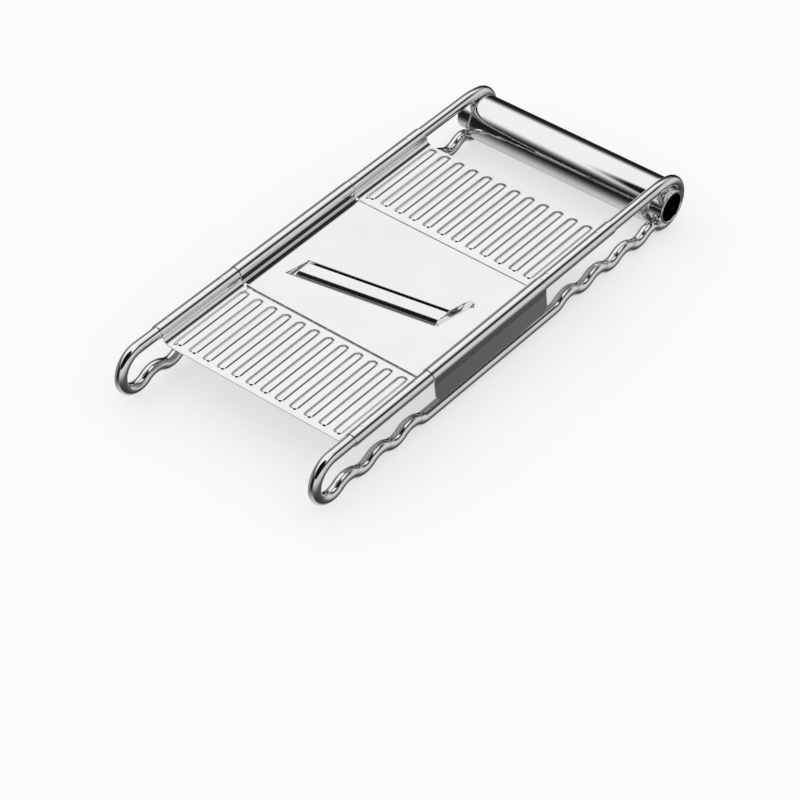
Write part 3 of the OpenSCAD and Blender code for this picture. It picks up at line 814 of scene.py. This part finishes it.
@dataclass
class Studio:
    """Pale floor, even light with a darker room for the metal, and the camera.

    A room is a tuple of heights of the direction, from -1 to 1, each with the brightness there. A span
    is where one side of the room gives way to the next. The offset is in units of the rods' spacing.
    """

    azimuth: float = 40.0853
    elevation: float = 42.0485
    roll: float = 0.9434
    lens: float = 144.0
    sensor: float = 36.0
    clip: tuple[float, float] = (0.05, 20.0)
    aim_y: float = -14.4597 * MM
    rod_span: float = 122.0 * MM
    offset: tuple[float, float, float] = (-0.0408, -0.4927, 12.8471)
    floor_r: float = 0.9
    floor_points: int = 96
    floor_tone: float = 0.94
    floor_drop: float = 0.2 * MM
    floor_glow: float = 0.6
    right_room: tuple[tuple[float, float], ...] = (
        (-1.0, 0.04), (-0.8, 0.05), (-0.57, 0.1), (-0.45, 0.22), (-0.32, 0.42), (-0.08, 0.66),
        (0.2, 0.72), (0.4, 0.64), (0.5, 0.3), (0.56, 0.05), (0.61, 0.02), (0.7, 0.02),
        (0.75, 0.1), (0.81, 0.55), (0.87, 1.0), (1.0, 1.0),
    )
    left_room: tuple[tuple[float, float], ...] = (
        (-1.0, 0.7), (-0.85, 0.55), (-0.72, 0.35), (-0.5, 0.1), (-0.3, 0.015), (0.22, 0.012),
        (0.36, 0.1), (0.48, 0.42), (0.56, 0.8), (0.63, 1.0), (1.0, 1.0),
    )
    far_left_room: tuple[tuple[float, float], ...] = (
        (-1.0, 0.3), (-0.5, 0.33), (-0.2, 0.28), (0.1, 0.2), (0.3, 0.15), (0.45, 0.22),
        (0.55, 0.7), (0.63, 1.0), (1.0, 1.0),
    )
    left_span: tuple[float, float] = (-0.58, -0.78)
    right_span: tuple[float, float] = (-0.1, 0.35)
    front_way: tuple[float, float, float] = (0.2, -0.61, 0.767)
    front_level: float = 0.004
    front_span: tuple[float, float] = (0.79, 0.83)

    def floor(self) -> None:
        """Lays a round pale floor that keeps the object's shadow."""
        bm = bmesh.new()
        bmesh.ops.create_circle(bm, cap_ends=True, radius=self.floor_r, segments=self.floor_points)
        mesh = bpy.data.meshes.new("floor")
        bm.to_mesh(mesh)
        bm.free()
        made = bpy.data.materials.new("pale_floor")
        made.use_nodes = True
        nodes, links = made.node_tree.nodes, made.node_tree.links
        shader = nodes["Principled BSDF"]
        shader.inputs["Base Color"].default_value = (*[self.floor_tone] * 3, 1.0)
        shader.inputs["Roughness"].default_value = 0.9
        shader.inputs["Specular IOR Level"].default_value = 0.1
        path = nodes.new("ShaderNodeLightPath")
        share = nodes.new("ShaderNodeMath")
        share.operation = "MULTIPLY"
        share.inputs[1].default_value = self.floor_glow
        links.new(path.outputs["Is Camera Ray"], share.inputs[0])
        glow = nodes.new("ShaderNodeMixShader")
        links.new(share.outputs["Value"], glow.inputs["Fac"])
        links.new(shader.outputs["BSDF"], glow.inputs[1])
        links.new(nodes.new("ShaderNodeEmission").outputs["Emission"], glow.inputs[2])
        mix = nodes.new("ShaderNodeMixShader")
        links.new(path.outputs["Is Glossy Ray"], mix.inputs["Fac"])
        links.new(glow.outputs["Shader"], mix.inputs[1])
        links.new(nodes.new("ShaderNodeBsdfTransparent").outputs["BSDF"], mix.inputs[2])
        links.new(mix.outputs["Shader"], nodes["Material Output"].inputs["Surface"])
        mesh.materials.append(made)
        floor = bpy.data.objects.new("floor", mesh)
        floor.location.z = -self.floor_drop
        bpy.context.scene.collection.objects.link(floor)

    @staticmethod
    def bands(tree: bpy.types.NodeTree, height: bpy.types.NodeSocket,
              stops: tuple[tuple[float, float], ...]) -> bpy.types.NodeSocket:
        """Adds the room's brightness by height of the direction.

        Args:
            tree: The world's node tree.
            height: Height of the direction, from 0 straight down to 1 straight up.
            stops: Height from -1 to 1 and brightness there.

        Returns:
            The colour socket.
        """
        node = tree.nodes.new("ShaderNodeValToRGB")
        ramp = node.color_ramp
        while len(ramp.elements) < len(stops):
            ramp.elements.new(1.0)
        for element, (place, level) in zip(ramp.elements, stops):
            element.position = (place + 1) / 2
            element.color = (*[level] * 3, 1.0)
        tree.links.new(height, node.inputs["Fac"])
        return node.outputs["Color"]

    def wall(self, tree: bpy.types.NodeTree, colour: bpy.types.NodeSocket | None) -> bpy.types.NodeSocket:
        """Adds one side of the room.

        Args:
            tree: The world's node tree.
            colour: Brightness of that side, or None for the dark side behind the camera.

        Returns:
            The shader socket.
        """
        node = tree.nodes.new("ShaderNodeBackground")
        if colour is None:
            node.inputs["Color"].default_value = (*[self.front_level] * 3, 1.0)
        else:
            tree.links.new(colour, node.inputs["Color"])
        return node.outputs["Background"]

    def world(self) -> None:
        """Makes even light, white to the camera, with a room of bands for the metal."""
        world = bpy.data.worlds.new("studio")
        world.use_nodes = True
        bpy.context.scene.world = world
        nodes, links = world.node_tree.nodes, world.node_tree.links
        even = nodes["Background"]
        even.inputs["Color"].default_value = (1.0, 1.0, 1.0, 1.0)
        even.inputs["Strength"].default_value = 1.0
        way = nodes.new("ShaderNodeSeparateXYZ")
        place = nodes.new("ShaderNodeTexCoord").outputs["Generated"]
        links.new(place, way.inputs["Vector"])
        height = nodes.new("ShaderNodeMapRange")
        height.inputs["From Min"].default_value = -1.0
        links.new(way.outputs["Z"], height.inputs["Value"])
        ahead = nodes.new("ShaderNodeVectorMath")
        ahead.operation = "DOT_PRODUCT"
        ahead.inputs[1].default_value = self.front_way
        links.new(place, ahead.inputs[0])

        tree, up = world.node_tree, height.outputs["Result"]
        room = self.wall(tree, self.bands(tree, up, self.left_room))
        sides = (
            (way.outputs["X"], self.left_span, self.bands(tree, up, self.far_left_room)),
            (way.outputs["X"], self.right_span, self.bands(tree, up, self.right_room)),
            (ahead.outputs["Value"], self.front_span, None),
        )
        for turn, span, colour in sides:
            share = nodes.new("ShaderNodeMapRange")
            share.interpolation_type = "SMOOTHSTEP"
            share.inputs["From Min"].default_value, share.inputs["From Max"].default_value = span
            links.new(turn, share.inputs["Value"])
            joined = nodes.new("ShaderNodeMixShader")
            links.new(share.outputs["Result"], joined.inputs["Fac"])
            links.new(room, joined.inputs[1])
            links.new(self.wall(tree, colour), joined.inputs[2])
            room = joined.outputs["Shader"]
        mix = nodes.new("ShaderNodeMixShader")
        links.new(nodes.new("ShaderNodeLightPath").outputs["Is Glossy Ray"], mix.inputs["Fac"])
        links.new(even.outputs["Background"], mix.inputs[1])
        links.new(room, mix.inputs[2])
        links.new(mix.outputs["Shader"], nodes["World Output"].inputs["Surface"])

    def camera(self, rail_z: float) -> None:
        """Stands the camera where the photograph was taken from.

        Args:
            rail_z: Height of the upper rods' axes.
        """
        a, e, r = (math.radians(x) for x in (self.azimuth, self.elevation, self.roll))
        ahead = Vector((-math.sin(a) * math.cos(e), math.cos(a) * math.cos(e), -math.sin(e)))
        right = Vector((math.cos(a), math.sin(a), 0.0))
        down = ahead.cross(right)
        right, down = right * math.cos(r) + down * math.sin(r), down * math.cos(r) - right * math.sin(r)
        x, y, z = (self.rod_span * part for part in self.offset)
        stand = Vector((0.0, self.aim_y, rail_z)) - right * x - down * y - ahead * z
        lens = bpy.data.cameras.new("camera")
        lens.lens = self.lens
        lens.sensor_width = self.sensor
        lens.clip_start, lens.clip_end = self.clip
        made = bpy.data.objects.new("camera", lens)
        turn = Matrix((right, -down, -ahead)).transposed().to_4x4()
        made.matrix_world = Matrix.Translation(stand) @ turn
        bpy.context.scene.collection.objects.link(made)
        bpy.context.scene.camera = made

    def build(self, rail_z: float) -> None:
        """Sets up floor, light and camera, for rods whose axes lie at that height."""
        bpy.context.scene.view_settings.view_transform = "Standard"
        self.floor()
        self.world()
        self.camera(rail_z)


def main() -> None:
    """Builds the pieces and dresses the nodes."""
    logging.basicConfig(level=logging.INFO, format="%(message)s")
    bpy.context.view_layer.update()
    rods = [BentRod(side) for side in Side]
    Studio().build(rail_z=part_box(rods[0].node)[1].z - rods[0].radius)
    for rod in rods:
        rod.build()
    HandleTube().build(neck=9.32947 * MM)
    RibbedPlate(Lie.FRONT, run_on=0.0, dent_in=(9.1 * MM, 8.1 * MM)).build()
    RibbedPlate(Lie.REAR, run_on=1.3 * MM, dent_in=(5.9 * MM, 10.1 * MM)).build()
    SlicingInsert().dress()
    RunInFlap().build()


if __name__ == "__main__":
    main()
